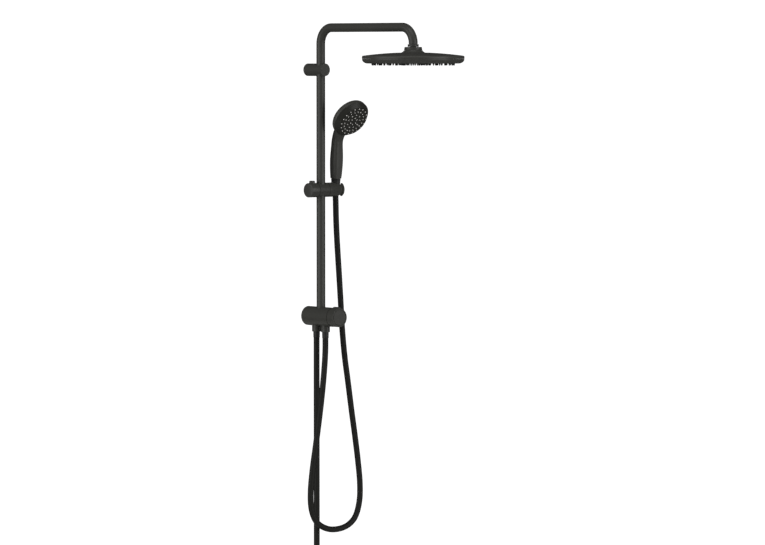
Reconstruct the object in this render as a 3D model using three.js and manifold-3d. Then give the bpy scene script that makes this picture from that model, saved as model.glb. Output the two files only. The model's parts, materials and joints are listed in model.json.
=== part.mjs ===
// Rainfall shower column: a wall-held riser with a diverter at its foot, a swivelling
// arm with an overhead rose on a ball joint, a sliding holder and a hand shower on its hose.
// Units are millimetres. The origin is the centre of the lower wall plate's back face,
// +Z is up and the column stands in front of the wall, which is the plane Y = 0.
// Lengths called "out" are measured from the wall along -Y.

import * as THREE from "three";
import { mergeVertices } from "three/addons/utils/BufferGeometryUtils.js";
import Module from "manifold-3d";

const wasm = await Module();
wasm.setup();

// ---------------------------------------------------------------- driving dimensions

const GAP = 0.3;                  // clearance kept between touching pieces
const COLUMN_OUT = 50;            // wall to column axis
const TUBE = { outer: 11, inner: 9.8 };
const ARM = { height: 723, reach: 345, bend: 40 };
const BRACKET = { height: 618, radius: 15.75, length: 67 };
const DIVERTER = { radius: 24, bodyOut: 97.6, knobOut: 122, knobRadius: 23.6 };
const PORT_PITCH = 34;            // inlet and outlet sit half of this either side of the column
const ROSE = { radius: 125, ball: 12, ballHeight: 664 };
const SLIDER = { height: 317.5, radius: 18, left: -42, seamLeft: -16, seamRight: 16.5, right: 63 };
const HANDSET = { across: 48.5, tiltDegrees: 3, dropDegrees: 31, radius: 50 };
const HOSE = { radius: 7.5, sides: 8 };
const SUPPLY_LENGTH = 700;        // tail to tail, hanging straight

const ROUND = 20;                 // facets round a large turned piece
const SMALL = 10;                 // facets round a small turned piece
const RISER_FOOT = 16.6;          // the riser tube stands this far above the diverter axis

// ---------------------------------------------------------------- finishes

const finish = (color, roughness, metalness) =>
  new THREE.MeshStandardMaterial({ color, roughness, metalness });

const FINISH = {
  black: finish(0x3b3b39, 0.42, 0.35),
  plastic: finish(0x2c2c2b, 0.5, 0),
  face: finish(0x1f1f1e, 0.3, 0),
  nozzle: finish(0xa9a7a4, 0.6, 0),
  hose: finish(0x232322, 0.45, 0),
  brass: finish(0xb08d4f, 0.35, 1),
  steel: finish(0x9a9a98, 0.35, 1),
  rubber: finish(0x1b1b1b, 0.8, 0),
  bush: finish(0xd8d6cf, 0.6, 0),
};

// ---------------------------------------------------------------- solid helpers

/** Keeps only positions, merges shared vertices and turns the faces outwards. */
function closed(geometry) {
  const bare = geometry.clone();
  for (const name of Object.keys(bare.attributes)) {
    if (name !== "position") bare.deleteAttribute(name);
  }
  const merged = mergeVertices(bare, 1e-4);
  const points = merged.attributes.position;
  const kept = [];
  let volume = 0;
  const a = new THREE.Vector3();
  const b = new THREE.Vector3();
  const c = new THREE.Vector3();
  const source = merged.index.array;
  for (let i = 0; i < source.length; i += 3) {
    const [p, q, r] = [source[i], source[i + 1], source[i + 2]];
    if (p === q || q === r || r === p) continue;
    kept.push(p, q, r);
    a.fromBufferAttribute(points, p);
    b.fromBufferAttribute(points, q);
    c.fromBufferAttribute(points, r);
    volume += a.dot(b.cross(c));
  }
  if (volume < 0) {
    for (let i = 0; i < kept.length; i += 3) {
      [kept[i], kept[i + 1]] = [kept[i + 1], kept[i]];
    }
  }
  merged.setIndex(kept);
  return merged;
}

function toSolid(geometry) {
  const body = closed(geometry);
  return new wasm.Manifold(new wasm.Mesh({
    numProp: 3,
    vertProperties: new Float32Array(body.attributes.position.array),
    triVerts: new Uint32Array(body.index.array),
  }));
}

function fromSolid(solid) {
  const mesh = solid.getMesh();
  const geometry = new THREE.BufferGeometry();
  geometry.setAttribute("position", new THREE.BufferAttribute(mesh.vertProperties, 3));
  geometry.setIndex(new THREE.BufferAttribute(mesh.triVerts, 1));
  return geometry;
}

function cut(geometry, ...tools) {
  return fromSolid(tools.reduce((solid, tool) => solid.subtract(toSolid(tool)), toSolid(geometry)));
}

function join(geometry, ...others) {
  return fromSolid(others.reduce((solid, other) => solid.add(toSolid(other)), toSolid(geometry)));
}

function overlap(geometry, other) {
  return fromSolid(toSolid(geometry).intersect(toSolid(other)));
}

/** A turned piece about +Z from [radius, height] pairs, closed on the axis or on itself. */
function turned(profile, sides = ROUND) {
  const points = profile.map(([radius, height]) => new THREE.Vector2(radius, height));
  const ends = [profile[0], profile[profile.length - 1]];
  if (ends.some(([radius]) => radius > 0)) points.push(points[0].clone());
  return closed(new THREE.LatheGeometry(points, sides).rotateX(Math.PI / 2));
}

/** A turned piece about the line out from the wall: heights are distances from the wall. */
const turnedOut = (profile, sides) => turned(profile, sides).rotateX(Math.PI / 2);

/** A turned piece about +X: heights are X values. */
const turnedAcross = (profile, sides) => turned(profile, sides).rotateY(Math.PI / 2);

/** A plain rectangle profile: a ring, or a disc when the inner radius is 0. */
function ring(inner, outer, low, high) {
  return [[inner, low], [outer, low], [outer, high], [inner, high]];
}

const post = (radius, low, high, sides = SMALL) => turned(ring(0, radius, low, high), sides);
const pegOut = (radius, low, high, sides = SMALL) => turnedOut(ring(0, radius, low, high), sides);
const pegAcross = (radius, low, high, sides = SMALL) => turnedAcross(ring(0, radius, low, high), sides);

function block(low, high) {
  const size = low.map((value, i) => high[i] - value);
  const middle = low.map((value, i) => (high[i] + value) / 2);
  return new THREE.BoxGeometry(...size).translate(...middle);
}

/** Points along a circular arc of a profile, angles in degrees from the +radius direction. */
function arc(centre, radius, from, to, steps) {
  return Array.from({ length: steps + 1 }, (_, i) => {
    const angle = THREE.MathUtils.degToRad(from + ((to - from) * i) / steps);
    return [centre[0] + radius * Math.cos(angle), centre[1] + radius * Math.sin(angle)];
  });
}

/** A path through exact stations, so that a straight run takes one step and a bend several. */
class StationPath extends THREE.Curve {
  constructor(stations) {
    super();
    this.stations = stations;
  }

  getSpacedPoints() {
    return this.stations.map((point) => point.clone());
  }

  getTangentAt(u) {
    const last = this.stations.length - 1;
    const i = Math.round(u * last);
    const before = this.stations[Math.max(i - 1, 0)];
    const after = this.stations[Math.min(i + 1, last)];
    const into = this.stations[i].clone().sub(before).normalize();
    const away = after.clone().sub(this.stations[i]).normalize();
    return into.add(away).normalize();
  }
}

function disc(radius, sides) {
  const shape = new THREE.Shape();
  const corners = Array.from({ length: sides }, (_, i) => {
    const angle = (2 * Math.PI * i) / sides;
    return new THREE.Vector2(radius * Math.cos(angle), radius * Math.sin(angle));
  });
  return shape.setFromPoints(corners);
}

const HANDLE_FLAT = 0.83;           // the handle's front is flat this far out, as a share of its depth

/** A rod flattened in front: stations hold a centre, a tilt about X and the section's two radii. */
function bentRod(stations, sides) {
  const rod = new THREE.CylinderGeometry(1, 1, 1, sides, stations.length - 1);
  const place = rod.attributes.position;
  const point = new THREE.Vector3();
  for (let i = 0; i < place.count; i += 1) {
    const height = place.getY(i) + 0.5;
    const { centre, tilt, wide, deep } = stations[Math.round(height * (stations.length - 1))];
    point.set(place.getX(i) * wide, Math.max(place.getZ(i), -HANDLE_FLAT) * deep, 0);
    point.applyAxisAngle(new THREE.Vector3(1, 0, 0), THREE.MathUtils.degToRad(tilt));
    point.add(new THREE.Vector3(0, centre[0], centre[1]));
    place.setXYZ(i, point.x, point.y, point.z);
  }
  return closed(rod);
}

function piece(group, name, geometry, material) {
  const mesh = new THREE.Mesh(closed(geometry), material);
  mesh.name = name;
  group.add(mesh);
}

/** Pan-head wall screw along the line out from the wall, its head on a plate's face. */
function wallScrew(plateOut) {
  return turnedOut([[0, GAP], [2, GAP], [2, plateOut + GAP], [3.6, plateOut + GAP],
    [3.6, plateOut + 1.8], [2.4, plateOut + 2.6], [0, plateOut + 2.6]], 8);
}

/** Nozzle centres on rings: each ring has a radius, a count and the angle of its first nozzle. */
function nozzleCentres(rings) {
  return rings.flatMap(({ radius, count, first }) => Array.from({ length: count }, (_, i) => {
    const angle = THREE.MathUtils.degToRad(first + (360 * i) / count);
    return [radius * Math.cos(angle), radius * Math.sin(angle)];
  }));
}

/** One stud or hole cutter per nozzle, tapering from wide to narrow along Z. */
function nozzlePins(centres, wide, narrow, from, to, sides = 4) {
  return centres.map(([x, y]) => turned(
    [[0, from], [wide, from], [narrow, to], [0, to]], sides).translate(x, y, 0));
}

// ---------------------------------------------------------------- diverter at the foot

const HOSE_END = -38.5;             // underside of the union nuts
const NIPPLE_END = HOSE_END + 9;    // the washer seals against this end inside the nut
const CARTRIDGE = { radius: 14.6, back: 42, front: 90.8, portRadius: 5.5 };
const INLET_OUT = COLUMN_OUT - PORT_PITCH / 2;
const OUTLET_OUT = COLUMN_OUT + PORT_PITCH / 2;

function wallPlates(group) {
  const plate = { thick: 6.5, radius: 20 };
  const holes = [-12, 12].map((x) => pegOut(2.3, -1, plate.thick + 1, 8).translate(x, 0, 0));
  piece(group, "lower_wall_plate",
    cut(turnedOut([[0, 0], [plate.radius, 0], [plate.radius, plate.thick - 1],
      [plate.radius - 1, plate.thick], [0, plate.thick]]), ...holes), FINISH.steel);
  piece(group, "lower_plate_screw_left", wallScrew(plate.thick).translate(-12, 0, 0), FINISH.steel);
  piece(group, "lower_plate_screw_right", wallScrew(plate.thick).translate(12, 0, 0), FINISH.steel);
}

function diverterBody(group) {
  const { radius, bodyOut } = DIVERTER;
  const outside = turnedOut([[0, 0.6], [radius - 0.8, 0.6], [radius, 1.4], [radius, bodyOut - 0.6],
    [radius - 0.6, bodyOut], [0, bodyOut]], 24);
  const plateRecess = pegOut(20.4, -1, 11.5, ROUND);
  const chamber = turnedOut([[0, 26], [15, 26], [15, 91], [18, 91], [18, bodyOut + 1], [0, bodyOut + 1]]);
  const riserSocket = turned([[0, 12], [8.5, 12], [8.5, RISER_FOOT - GAP], [11.3, RISER_FOOT - GAP],
    [11.3, 18.2], [13.2, 18.2], [13.2, 20.4], [11.3, 20.4], [11.3, 26], [0, 26]], 16).translate(0, -COLUMN_OUT, 0);
  const bosses = [INLET_OUT, OUTLET_OUT].map((out) => post(11.3, -24.5, -16, ROUND).translate(0, -out, 0));
  const port = turned([[0, -26], [10.4, -26], [10.4, -19], [7, -19], [7, -12], [0, -12]], SMALL);
  const grubHole = post(2.3, -26, -19.5, 12).translate(0, -3.8, 0);
  piece(group, "diverter_body", cut(join(outside, ...bosses), plateRecess, chamber, riserSocket,
    port.clone().translate(0, -INLET_OUT, 0), port.clone().translate(0, -OUTLET_OUT, 0),
    grubHole), FINISH.black);
  piece(group, "lower_grub_screw", post(2, -23.4, -20.3, 12).translate(0, -3.8, 0), FINISH.steel);
  piece(group, "riser_o_ring",
    turned(ring(11.4, 12.9, 18.5, 20.1), 14).translate(0, -COLUMN_OUT, 0), FINISH.rubber);
  for (const [name, out] of [["inlet_nipple", INLET_OUT], ["outlet_nipple", OUTLET_OUT]]) {
    piece(group, name, turned(ring(7, 10.1, NIPPLE_END, -19.3), SMALL).translate(0, -out, 0), FINISH.black);
  }
}

function diverterCartridge(group) {
  const { radius, back, front, portRadius } = CARTRIDGE;
  const can = turnedOut([[0, back], [radius, back], [radius, 78.4], [13.2, 78.4], [13.2, 81],
    [radius, 81], [radius, front], [0, front]], 18);
  const hollow = turnedOut([[0, back - 1], [11, back - 1], [11, 76], [4.3, 76], [4.3, front + 1],
    [0, front + 1]], 16);
  const riserPort = post(portRadius, 0, 20).translate(0, -COLUMN_OUT, 0);
  const outletPort = post(portRadius, -20, 0).translate(0, -OUTLET_OUT, 0);
  piece(group, "diverter_cartridge", cut(can, hollow, riserPort, outletPort), FINISH.bush);
  piece(group, "cartridge_o_ring", turnedOut(ring(13.6, 14.8, 78.7, 80.7), 14), FINISH.rubber);
  piece(group, "cartridge_nut", turnedOut(ring(9, 17.6, 91.4, 96.6), 20), FINISH.brass);

  const rotor = cut(pegOut(10.6, 44, 74, 20), block([-12, -75, -1], [12, -43, 12]));
  const stem = cut(join(rotor, pegOut(4, 73, 112, 12)), pegOut(1.8, 100, 113, 8));
  piece(group, "diverter_stem", stem, FINISH.brass);
}

function diverterKnob(group) {
  const { bodyOut, knobOut, knobRadius } = DIVERTER;
  const back = bodyOut + 0.7;
  const shell = turnedOut([[4.3, back + 6], [19, back + 6], [19, back], [knobRadius, back],
    [knobRadius, knobOut - 1.2], [knobRadius - 1.2, knobOut - 0.2], [20.4, knobOut - 0.2],
    [20.4, knobOut - 4.6], [5.2, knobOut - 4.6], [5.2, 114.6], [2.4, 114.6], [2.4, 112.4],
    [4.3, 112.4]], 20);
  const tab = block([-3, 1 - knobOut, knobRadius - 1], [3, -back - 1.5, knobRadius + 3]);
  piece(group, "diverter_knob", join(shell, tab), FINISH.black);
  piece(group, "knob_cap", turnedOut([[0, knobOut - 4.2], [20, knobOut - 4.2], [20, knobOut - 0.6],
    [19.4, knobOut], [0, knobOut]], 20), FINISH.black);
  piece(group, "knob_screw", turnedOut([[0, 104], [1.5, 104], [1.5, 115], [4.6, 115], [4.6, 117],
    [0, 117]], 8), FINISH.steel);
}

// ---------------------------------------------------------------- riser and upper bracket

const SPLIT = BRACKET.height - 1;   // where the fixed riser ends and the swivelling arm begins
const SPIGOT = { outer: 9.4, inner: 7, half: 20 };

function riser(group) {
  piece(group, "riser_tube", turned(ring(TUBE.inner, TUBE.outer, RISER_FOOT, SPLIT - GAP), 18), FINISH.black);
  const { outer, inner, half } = SPIGOT;
  const groove = outer - 1.4;
  piece(group, "swivel_spigot", turned([[inner, SPLIT - half], [outer, SPLIT - half],
    [outer, SPLIT + 8], [groove, SPLIT + 8], [groove, SPLIT + 10.6], [outer, SPLIT + 10.6],
    [outer, SPLIT + half], [inner, SPLIT + half]], 16), FINISH.brass);
  piece(group, "swivel_o_ring", turned(ring(8.3, 9.5, SPLIT + 8.3, SPLIT + 10.3), 12), FINISH.rubber);
}

function bracket(group) {
  const { radius, length } = BRACKET;
  const plate = { thick: 5, radius: 12.6 };
  const body = turnedOut([[0, 0.6], [radius - 0.6, 0.6], [radius, 1.2], [radius, length - 0.7],
    [radius - 0.7, length], [0, length]]);
  const tubeHole = post(13.1, -20, 20, 18).translate(0, -COLUMN_OUT, 0);
  const grubHole = post(2, -17, -12, 12).translate(0, -3.4, 0);
  piece(group, "bracket_body", cut(body, tubeHole, pegOut(13, -1, 9, 20), grubHole), FINISH.black);
  const bushOutside = turnedOut([[0, COLUMN_OUT - 14], [radius - 0.4, COLUMN_OUT - 14],
    [radius - 0.4, COLUMN_OUT + 14], [0, COLUMN_OUT + 14]]);
  piece(group, "swivel_bush", overlap(
    turned(ring(TUBE.outer + 0.25, 12.8, -15, 15), 18).translate(0, -COLUMN_OUT, 0), bushOutside), FINISH.plastic);
  piece(group, "bracket_grub_screw", post(1.7, -15.2, -12.9, 12).translate(0, -3.4, 0), FINISH.steel);
  const holes = [-7, 7].map((x) => pegOut(2.3, -1, plate.thick + 1, 8).translate(x, 0, 0));
  piece(group, "upper_wall_plate", cut(pegOut(plate.radius, 0, plate.thick, 20), ...holes), FINISH.steel);
  piece(group, "upper_plate_screw_left", wallScrew(plate.thick).translate(-7, 0, 0), FINISH.steel);
  piece(group, "upper_plate_screw_right", wallScrew(plate.thick).translate(7, 0, 0), FINISH.steel);
}

// ---------------------------------------------------------------- arm

const ARM_END = ARM.height - ARM.bend - 1.2;   // the arm tube's open end above the rose
const BEND_STEPS = 5;

function armPipe(group) {
  const { height, reach, bend } = ARM;
  const quarter = (centreOut, from, to) => Array.from({ length: BEND_STEPS + 1 }, (_, i) => {
    const angle = THREE.MathUtils.degToRad(from + ((to - from) * i) / BEND_STEPS);
    return new THREE.Vector3(0, -centreOut - bend * Math.cos(angle), height - bend + bend * Math.sin(angle));
  });
  const stations = [
    new THREE.Vector3(0, -COLUMN_OUT, SPLIT),
    ...quarter(COLUMN_OUT + bend, 180, 90),
    ...quarter(COLUMN_OUT + reach - bend, 90, 0),
    new THREE.Vector3(0, -COLUMN_OUT - reach, ARM_END),
  ];
  const section = disc(TUBE.outer, 14);
  section.holes.push(disc(TUBE.inner, 14));
  piece(group, "arm_pipe", new THREE.ExtrudeGeometry(section, {
    steps: stations.length - 1,
    bevelEnabled: false,
    extrudePath: new StationPath(stations),
  }), FINISH.black);
}

// ---------------------------------------------------------------- overhead rose
// Heights here are measured from the centre of the ball, which the rose tilts about.

const SEAT = { inner: 12.35, outer: 14.6, top: -1, low: -10 };
const CUP = 14.95;
const ROSE_SEAM = -18;
const ROSE_FACE = -29.6;
const ROSE_STUD = 4.8;              // how far the rose's nozzles stand out of its face
const ROSE_RINGS = [
  { radius: 100, count: 34, first: 3 },
  { radius: 80, count: 24, first: 3 },
  { radius: 60, count: 18, first: 3 },
  { radius: 40, count: 12, first: 3 },
  { radius: 20, count: 6, first: 3 },
];

const degrees = (height, radius) => THREE.MathUtils.radToDeg(Math.asin(height / radius));
const dome = (radius) => -2.3 - (radius * radius) / 1860;

function ballJoint(group) {
  const { ball } = ROSE;
  const bore = 5;
  const low = -THREE.MathUtils.radToDeg(Math.acos(bore / ball));
  const neck = THREE.MathUtils.radToDeg(Math.acos(7 / ball));
  const collarTop = ARM_END - GAP - ROSE.ballHeight;
  piece(group, "ball_fitting", turned([
    ...arc([0, 0], ball, low, neck, 7),
    [7, 11.2], [12.9, 11.2], [13.5, 11.8], [13.5, collarTop - 0.6], [12.9, collarTop],
    [9.1, collarTop], [9.1, collarTop + 4], [bore, collarTop + 4]], 16), FINISH.black);
  piece(group, "ball_seat", turned([
    ...arc([0, 0], SEAT.inner, degrees(SEAT.top, SEAT.inner), degrees(SEAT.low, SEAT.inner), 3),
    ...arc([0, 0], SEAT.outer, degrees(SEAT.low, SEAT.outer), degrees(SEAT.top, SEAT.outer), 3)], 18),
  FINISH.bush);
  piece(group, "ball_nut", turned([
    ...arc([0, 0], SEAT.inner, degrees(2.9, SEAT.inner), degrees(7.1, SEAT.inner), 2),
    [16.6, 7.1], [17.2, 10.8], [20.6, 10.8], [21, 10.4], [21.7, 7],
    ...arc([31.7, 7], 10, 190, 204, 2), [19.9, 2.9], [19.9, 6], [16.8, 6], [16.8, 2.9]], 18), FINISH.black);
}

function roseShells(group) {
  const { radius } = ROSE;
  const roof = [62, 112].map((r) => [r, dome(r)]);
  const ceiling = [112, 24].map((r) => [r, dome(r) - 2.2]);
  piece(group, "rose_cover", turned([
    ...arc([0, 0], CUP, -56, degrees(2.6, CUP), 4),
    [17.1, 2.6], [17.1, 5.7], [19.6, 5.7], [19.6, 2.6],
    ...arc([31.7, 7], 10, 206, 268, 3),
    ...roof,
    ...arc([radius - 3.2, -13.6], 3.2, 76, 0, 2),
    [radius, ROSE_SEAM], [radius - 2.4, ROSE_SEAM], [radius - 2.4, -13.4],
    ...ceiling,
    ...arc([0, 0], 17.2, -30, -61.5, 2)], 24), FINISH.black);
  const corner = Array.from({ length: 4 }, (_, i) => {
    const angle = (Math.PI / 6) * i;
    return [radius - 14 + 14 * Math.cos(angle), ROSE_SEAM - GAP - (ROSE_SEAM - GAP - ROSE_FACE) * Math.sin(angle)];
  });
  piece(group, "spray_ring", turned([
    ...corner, [109, ROSE_FACE], [109, ROSE_FACE + 1.2], [radius - 14, ROSE_FACE + 2.2],
    [radius - 2.4, ROSE_SEAM - GAP]], 24), FINISH.black);
  const studs = nozzlePins(nozzleCentres(ROSE_RINGS), 2.1, 1.4, ROSE_FACE + 1, ROSE_FACE - ROSE_STUD);
  const face = turned([[0, ROSE_FACE], [108.6, ROSE_FACE], [108.6, ROSE_FACE + 1.6],
    [110.4, ROSE_FACE + 2.6], [110.4, ROSE_FACE + 3.6], [0, ROSE_FACE + 3.6]], 24);
  piece(group, "spray_face", join(face, ...studs), FINISH.plastic);
  const under = ROSE_FACE + 3.9;
  piece(group, "water_plate", turned([[9, under + 3], [9, -15.6], [11, -15.6], [11, under + 4.6],
    [107, under + 4.6], [107, under], [105, under], [105, under + 3]]), FINISH.plastic);
}

// ---------------------------------------------------------------- slider on the column
// Positions here are measured from where the slider's own axis crosses the column axis.

const BUTTON = { across: -29, radius: 7.3, top: 23.6, low: 4.2 };

function slider(group) {
  const { radius, left, seamLeft, seamRight } = SLIDER;
  const barrel = turnedAcross([[0, seamLeft], [radius - 0.4, seamLeft], [radius, seamLeft + 0.4],
    [radius, seamRight - 0.4], [radius - 0.4, seamRight], [9, seamRight], [9, 24], [0, 24]], 20);
  const tubeHole = post(13.4, -20, 20, 18);
  piece(group, "slider_body", cut(barrel, tubeHole, pegAcross(3.2, -20, -10, 8),
    pegAcross(2.2, 17, 26, 8)), FINISH.black);
  const bushOutside = pegAcross(radius - 0.5, -15, 15, 20);
  piece(group, "slider_bush", cut(overlap(turned(ring(TUBE.outer + 0.25, 13.1, -18, 18), 18), bushOutside),
    pegAcross(3.2, -20, -5, 8)), FINISH.plastic);
  const end = turnedAcross([[0, left], [radius - 1, left], [radius, left + 1],
    [radius, seamLeft - 0.7], [radius - 0.4, seamLeft - GAP], [0, seamLeft - GAP]], 20);
  const buttonBore = post(BUTTON.radius + GAP, -4, 30, 16).translate(BUTTON.across, 0, 0);
  piece(group, "slider_end", cut(end, buttonBore, pegAcross(3.2, BUTTON.across, -10, 8)), FINISH.black);
  piece(group, "brake_pin", pegAcross(2.8, -21.2, -TUBE.outer - GAP, 8), FINISH.bush);
}

function lockButton(group) {
  const { across, radius, top, low } = BUTTON;
  piece(group, "lock_button", turned([[0, low], [radius, low], [radius, top - 0.8],
    [radius - 0.8, top], [0, top]], 18).translate(across, 0, 0), FINISH.plastic);
  const coil = { radius: 4.6, wire: 0.6, low: -3.2, high: 3.4, turns: 3 };
  const wire = Array.from({ length: coil.turns * 8 + 1 }, (_, i) => {
    const angle = (2 * Math.PI * i) / 8;
    return new THREE.Vector3(across + coil.radius * Math.cos(angle), coil.radius * Math.sin(angle),
      coil.low + ((coil.high - coil.low) * i) / (coil.turns * 8));
  });
  piece(group, "button_spring", new THREE.ExtrudeGeometry(disc(coil.wire, 4), {
    steps: wire.length - 1, bevelEnabled: false, extrudePath: new StationPath(wire),
  }), FINISH.steel);
}

function holder(group) {
  const { radius, seamRight, right } = SLIDER;
  const { across } = HANDSET;
  const face = seamRight + 0.5;
  const lip = radius + 0.5;
  const outside = turnedAcross([[0, face], [radius - 0.4, face], [radius, face + 0.4], [radius, 50.5],
    [radius - 2, 52.5], [radius - 2, right - 4.4], [lip, right - 4.4], [lip, right - 0.8],
    [lip - 0.8, right], [0, right]], 20);
  const seat = turned([[0, -20], [9.6, -20], [9.6, -6], [8.6, 2.6], [10.75, 2.7], [12, 20], [0, 20]], 18);
  const slot = block([across, -7.9, -20], [right + 1, 7.9, 20]);
  piece(group, "handset_holder", cut(outside, seat.translate(across, 0, 0), slot,
    pegAcross(9.4, face - 1, 26.4, 16), pegAcross(2.3, 20, 34, 8), pegAcross(5.3, 29.4, 44)), FINISH.black);
  piece(group, "tilt_washer", turnedAcross(ring(2.6, 9, 24.4, 26), 14), FINISH.bush);
  piece(group, "tilt_screw", turnedAcross([[0, 18], [1.9, 18], [1.9, 29.8], [4.8, 29.8], [4.8, 32],
    [0, 32]], SMALL), FINISH.steel);
}

// ---------------------------------------------------------------- hand shower
// Heights here run up the tilted holder axis from the slider's own axis.

const FACE = { out: 60.6, height: 175.3 };
const HANDSET_RINGS = [
  { radius: 37.3, count: 18, first: 10 },
  { radius: 28.4, count: 18, first: 10 },
  { radius: 18.5, count: 9, first: 30 },
  { radius: 9.3, count: 6, first: 30 },
];
const NUT = { low: 3.3, top: 27.5 };
const COUPLING = 12.2;              // foot of the flange that the cone nut pulls up

/** Turns a piece made about +Z, heights behind the face, into the spray face's place. */
function behindFace(geometry) {
  const back = THREE.MathUtils.degToRad(HANDSET.dropDegrees - 90);
  return geometry.rotateX(back).translate(0, -FACE.out, FACE.height);
}

function handsetShell(group) {
  const straight = [[NUT.top + 0.4, 12.8, 13.9], [NUT.top + 2, 14, 14.2], [43, 15.4, 15.4], [71, 16.8, 16.8],
    [98, 15.8, 15.8], [118, 14.5, 14.5]];
  const stations = straight.map(([height, wide, deep]) => ({ centre: [0, height], tilt: 0, wide, deep }));
  stations.push(
    { centre: [-1.2, 127], tilt: 12, wide: 14.5, deep: 14.5 },
    { centre: [-4.8, 138], tilt: 26, wide: 15.3, deep: 14.8 },
    { centre: [-12, 150], tilt: 36, wide: 17.5, deep: 15 },
    { centre: [-21.5, 162], tilt: 40, wide: 20, deep: 14.5 },
    { centre: [-31, 173], tilt: 42, wide: 21, deep: 12 },
  );
  const { radius } = HANDSET;
  const housing = behindFace(turned([[0, 11.3], [radius, 11.3], [radius, 18.5],
    ...arc([radius - 8, 18.5], 8, 18, 70, 2), [32, 28.4], [16, 30.4], [0, 31]], 24));
  const cavity = behindFace(turned([[0, 10], [radius - 3.2, 10], [radius - 3.2, 18.5], [41, 24.5],
    [30, 26], [0, 27.5]], 20));
  const from = new THREE.Vector3(0, -1.5, 124);
  const to = new THREE.Vector3(0, -39, 182);
  const run = to.clone().sub(from);
  const upperBore = post(5.5, 0, run.length(), 10)
    .rotateX(Math.atan2(-run.y, run.z)).translate(0, from.y, from.z);
  const lowerBore = turned([[0, 20], [10.4, 20], [10.4, 41], [6.5, 41], [6.5, 128], [0, 128]], SMALL);
  piece(group, "handset_shell", cut(join(bentRod(stations, 16), housing), cavity, lowerBore, upperBore),
    FINISH.black);
}

function handsetFace(group) {
  const { radius } = HANDSET;
  piece(group, "face_ring", behindFace(turned([[radius, 11], [radius - 0.4, 10], [40.8, 0.7],
    [40.2, 0.3], [39.4, 0.3], [39.4, 4.8], [radius - 3.6, 11]], 24)), FINISH.face);
  const centres = nozzleCentres(HANDSET_RINGS);
  const plate = post(38.7, 0, 2.6, ROUND);
  piece(group, "face_plate",
    behindFace(cut(plate, ...nozzlePins(centres, 1.7, 1.7, -1, 3.5))), FINISH.face);
  piece(group, "handset_nozzle_mat", behindFace(join(post(38.6, 2.9, 4.2, ROUND),
    ...nozzlePins(centres, 1.3, 1, 3.2, -1.3))), FINISH.nozzle);
  piece(group, "handset_water_plate", behindFace(turned([[6, 8.5], [43, 8.5], [43, 10.5],
    [8, 10.5], [8, 13.5], [6, 13.5]], 18)), FINISH.plastic);
}

function coneNut(group) {
  piece(group, "handset_nipple", turned(ring(6.5, 10.1, COUPLING + 4.6, 40.6), SMALL), FINISH.plastic);
  piece(group, "handset_washer", turned(ring(5, 9.8, COUPLING + 2.3, COUPLING + 4.3), SMALL), FINISH.rubber);
  piece(group, "hand_hose_tail", turned(ring(4, 9.8, COUPLING, COUPLING + 2), SMALL), FINISH.brass);
  piece(group, "cone_nut", turned([[8, NUT.low], [9.8, NUT.low], [10.4, NUT.low + 0.6], [11.4, 18],
    [11.5, 23.2], [12.2, 23.8], [12.2, 25.6], [11.1, 26.2], [11.1, NUT.top], [10.45, NUT.top], [10.45, 11.6],
    [8, 11.6]], 18), FINISH.plastic);
}

// ---------------------------------------------------------------- hoses

const TAIL = 15;                    // crimped sleeve below each union nut

/** The hand hose's route from the cone nut, behind the knob, round its loop and up to the outlet. */
const HAND_ROUTE = [
  [48.5, -50.6, 329.1], [48.7, -49.8, 310.5], [49.5, -49.6, 286], [50.2, -50.3, 240],
  [52.2, -51.5, 189], [55.2, -52.5, 139], [58.6, -53.3, 88], [62.2, -54.2, 30],
  [66, -55.3, -35], [73.5, -56.2, -105], [83, -57, -165], [94.5, -57.9, -240],
  [106, -58.7, -310], [115.5, -59.4, -375], [121, -60, -430], [118.5, -60.5, -475],
  [104, -61, -512.5], [78, -61.4, -532], [40, -61.9, -539], [4, -62.4, -533.5],
  [-27, -62.8, -514.5], [-43, -63.2, -483], [-46.5, -63.7, -440], [-41, -64.2, -385],
  [-31, -65, -325], [-19.5, -65.7, -255], [-9.5, -66.3, -185], [-3, -66.8, -125],
  [-0.3, -67, -85], [0, -67, -53.8],
];

function hoseTube(route, steps) {
  const path = new THREE.CatmullRomCurve3(route.map((point) => new THREE.Vector3(...point)));
  return new THREE.ExtrudeGeometry(disc(HOSE.radius, HOSE.sides), {
    steps, bevelEnabled: false, extrudePath: path,
  });
}

/** Nut and crimped tail that join a hose end to a half-inch nipple above it. */
function union(group, name, place) {
  const floor = HOSE_END + 4;       // inside the nut, where the tail's flange rests
  const nut = turned([[6, HOSE_END], [11, HOSE_END], [11.4, HOSE_END + 0.4], [11.4, -25.2],
    [11, -24.8], [10.45, -24.8], [10.45, floor], [6, floor]], 16);
  const tail = turned([[4, floor + GAP], [4, HOSE_END - TAIL], [8.35, HOSE_END - TAIL],
    [8.35, HOSE_END - GAP], [5.7, HOSE_END - GAP], [5.7, floor + GAP]], SMALL);
  const flange = turned(ring(4, 9.8, floor + GAP, NIPPLE_END - 2.8), SMALL);
  piece(group, `${name}_nut`, place(nut), FINISH.black);
  piece(group, `${name}_tail`, place(join(tail, flange)), FINISH.plastic);
}

function unionWasher(group, name, out) {
  piece(group, name, turned(ring(5, 9.8, NIPPLE_END - 2.4, NIPPLE_END - 0.4), SMALL).translate(0, -out, 0), FINISH.rubber);
}

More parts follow.
